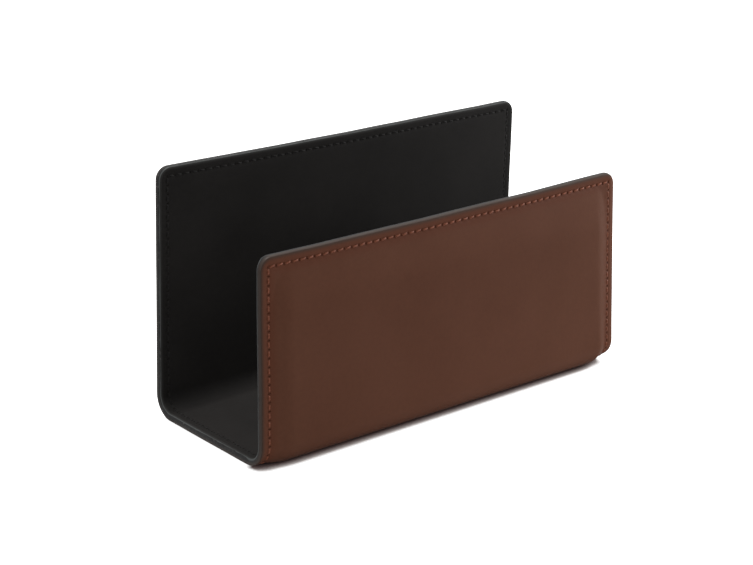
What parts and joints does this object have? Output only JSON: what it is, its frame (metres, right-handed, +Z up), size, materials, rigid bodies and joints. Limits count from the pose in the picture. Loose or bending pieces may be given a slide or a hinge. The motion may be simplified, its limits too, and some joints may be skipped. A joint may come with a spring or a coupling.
{
  "type": "letter holder",
  "caption": "Desk letter holder: a U of sewn leather over a formed board, with a tall back wall, a lower front wall and open ends, for letters to stand in.",
  "frame": {"origin": "on the desk, under the middle of the holder's length and depth", "axes": "+X along the letter slot, +Y from the low front wall to the tall back wall, +Z up"},
  "size_m": [0.175, 0.069, 0.097],
  "materials": {
    "cover_leather": "smooth satin brown leather",
    "lining_leather": "smooth satin black leather",
    "board": "plain fibre board, hidden",
    "edge_paint": "satin dark grey edge paint",
    "rust_thread": "waxed rust-brown sewing thread",
    "black_thread": "waxed black sewing thread"
  },
  "bodies": {
    "root": {"outer_cover": "cover_leather", "inner_lining": "lining_leather", "core_board": "board", "edge_coat": "edge_paint", "needle_thread": "rust_thread", "bobbin_thread": "black_thread"}
  },
  "joints": []
}
